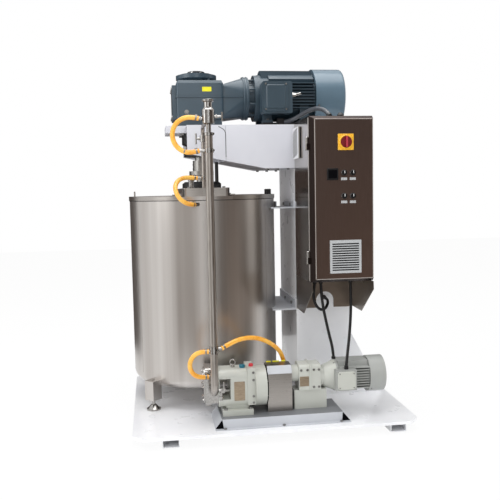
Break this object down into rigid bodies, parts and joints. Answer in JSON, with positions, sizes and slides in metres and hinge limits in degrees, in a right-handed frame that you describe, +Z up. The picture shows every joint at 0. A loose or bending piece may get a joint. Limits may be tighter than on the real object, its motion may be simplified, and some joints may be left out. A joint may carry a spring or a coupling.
{
  "type": "chocolate ball mill",
  "caption": "Vertical ball mill for chocolate: jacketed tank with agitator, overhead geared motor, lobe pump set with riser pipe, and control cabinet on one base plate.",
  "frame": {"origin": "on the floor under the middle of the base plate", "axes": "+Z up, +X from the tank towards the column, +Y from the pump side towards the back"},
  "size_m": [1.737, 1.44, 2.326],
  "materials": {
    "white_paint": "gloss white enamel",
    "arm_paint": "satin pale grey enamel",
    "tank_steel": "brushed stainless",
    "pipe_steel": "polished stainless",
    "cabinet_steel": "tinted brushed stainless",
    "motor_paint": "satin slate enamel",
    "pump_paint": "satin grey green enamel",
    "frame_steel": "satin grey enamel",
    "shaft_steel": "machined",
    "dark_iron": "black painted casting",
    "chrome": "polished",
    "fastener_steel": "plain",
    "hose_amber": "amber reinforced hose",
    "cable_black": "black sheath",
    "conduit_grey": "grey corrugated",
    "switch_yellow": "yellow and black plastic",
    "knob_red": "dark red",
    "knob_black": "black"
  },
  "bodies": {
    "machine": {"base_frame": "white_paint", "column": "white_paint", "arm_beam": "arm_paint", "arm_head_cover": "arm_paint", "gear_mount_plate": "arm_paint", "bearing_housing": "dark_iron", "gear_housing": "motor_paint", "input_adapter": "motor_paint", "motor_frame": "motor_paint", "motor_terminal_box": "motor_paint", "motor_fan_cover": "motor_paint", "tank_jacket": "tank_steel", "tank_inner_vessel": "tank_steel", "levelling_feet": "pipe_steel", "lid_bridge": "tank_steel", "seal_housing": "dark_iron", "tank_stays": "tank_steel", "pump_subframe": "frame_steel", "pump_head": "pipe_steel", "pump_gearcase": "pump_paint", "coupling_guard": "tank_steel", "reducer_housing": "pump_paint", "pump_motor": "pump_paint", "riser_pipe": "pipe_steel", "tank_outlet": "pipe_steel", "riser_head": "pipe_steel", "return_pipe": "pipe_steel", "pipe_fittings": "pipe_steel", "cabinet_body": "cabinet_steel", "cabinet_console": "tank_steel", "hose_riser_top": "hose_amber", "hose_tank_top": "hose_amber", "hose_pump_head": "hose_amber", "hose_tank_bottom": "hose_amber", "cable_pump_motor": "cable_black", "cable_sensor": "cable_black", "cable_column": "cable_black", "conduit": "conduit_grey", "cable_glands": "knob_black", "fasteners": "fastener_steel"},
    "agitator_drive": {"agitator": "shaft_steel", "shaft_coupling": "shaft_steel", "output_shaft": "shaft_steel"},
    "main_rotor": {"motor_rotor": "shaft_steel"},
    "pump_drive": {"rotor_upper": "shaft_steel", "drive_coupling": "shaft_steel"},
    "pump_driven": {"rotor_lower": "shaft_steel"},
    "pump_rotor": {"pump_motor_rotor": "shaft_steel"},
    "door": {"cabinet_door": "cabinet_steel", "door_fittings": "switch_yellow"},
    "main_switch": {"main_switch_knob": "knob_red"},
    "switch_1": {"selector_1": "knob_black"},
    "switch_2": {"selector_2": "knob_black"},
    "switch_3": {"selector_3": "knob_black"},
    "switch_4": {"selector_4": "knob_black"},
    "left_lid": {"lid_left": "tank_steel"},
    "right_lid": {"lid_right": "tank_steel"},
    "outlet_lever": {"outlet_valve_lever": "chrome"},
    "return_lever": {"return_valve_lever": "chrome"},
    "drain_lever": {"drain_valve_lever": "chrome"}
  },
  "joints": [
    {"name": "agitator_spin", "type": "hinge", "parent": "machine", "child": "agitator_drive", "pos_m": [-0.3635, 0.206, 1.6], "axis": [0, 0, 1], "continuous": true},
    {"name": "main_motor_spin", "type": "hinge", "parent": "machine", "child": "main_rotor", "pos_m": [0.1965, 0.206, 2.126], "axis": [1, 0, 0], "continuous": true},
    {"name": "pump_drive_spin", "type": "hinge", "parent": "machine", "child": "pump_drive", "pos_m": [-0.2635, -0.469, 0.346], "axis": [1, 0, 0], "continuous": true},
    {"name": "pump_driven_spin", "type": "hinge", "parent": "machine", "child": "pump_driven", "pos_m": [-0.2635, -0.469, 0.258], "axis": [1, 0, 0], "continuous": true},
    {"name": "pump_motor_spin", "type": "hinge", "parent": "machine", "child": "pump_rotor", "pos_m": [0.4965, -0.469, 0.32], "axis": [1, 0, 0], "continuous": true},
    {"name": "door_swing", "type": "hinge", "parent": "machine", "child": "door", "pos_m": [0.2305, -0.488, 1.423], "axis": [0, 0, -1], "range_deg": [0, 110]},
    {"name": "main_switch_turn", "type": "hinge", "parent": "door", "child": "main_switch", "pos_m": [0.4645, -0.539, 1.772], "axis": [0, -1, 0], "range_deg": [0, 90]},
    {"name": "switch_1_turn", "type": "hinge", "parent": "door", "child": "switch_1", "pos_m": [0.4525, -0.532, 1.586], "axis": [0, -1, 0], "range_deg": [-45, 45]},
    {"name": "switch_2_turn", "type": "hinge", "parent": "door", "child": "switch_2", "pos_m": [0.5075, -0.532, 1.586], "axis": [0, -1, 0], "range_deg": [-45, 45]},
    {"name": "switch_3_turn", "type": "hinge", "parent": "door", "child": "switch_3", "pos_m": [0.4525, -0.532, 1.445], "axis": [0, -1, 0], "range_deg": [-45, 45]},
    {"name": "switch_4_turn", "type": "hinge", "parent": "door", "child": "switch_4", "pos_m": [0.5075, -0.532, 1.445], "axis": [0, -1, 0], "range_deg": [-45, 45]},
    {"name": "left_lid_lift", "type": "hinge", "parent": "machine", "child": "left_lid", "pos_m": [-0.5275, 0.206, 1.47], "axis": [0, 1, 0], "range_deg": [0, 90]},
    {"name": "right_lid_lift", "type": "hinge", "parent": "machine", "child": "right_lid", "pos_m": [-0.2095, 0.206, 1.47], "axis": [0, -1, 0], "range_deg": [0, 22]},
    {"name": "outlet_valve_turn", "type": "hinge", "parent": "machine", "child": "outlet_lever", "pos_m": [-0.3115, -0.644, 1.914], "axis": [1, 0, 0], "range_deg": [0, 90]},
    {"name": "return_valve_turn", "type": "hinge", "parent": "machine", "child": "return_lever", "pos_m": [-0.4155, -0.206, 1.822], "axis": [1, 0, 0], "range_deg": [0, 90]},
    {"name": "drain_valve_turn", "type": "hinge", "parent": "machine", "child": "drain_lever", "pos_m": [-0.3275, -0.65, 0.312], "axis": [0, 1, 0], "range_deg": [0, 90]}
  ],
  "couplings": [
    {"joint": "main_motor_spin", "follows": "agitator_spin", "ratio": 20},
    {"joint": "pump_driven_spin", "follows": "pump_drive_spin", "ratio": -1},
    {"joint": "pump_motor_spin", "follows": "pump_drive_spin", "ratio": 6}
  ]
}
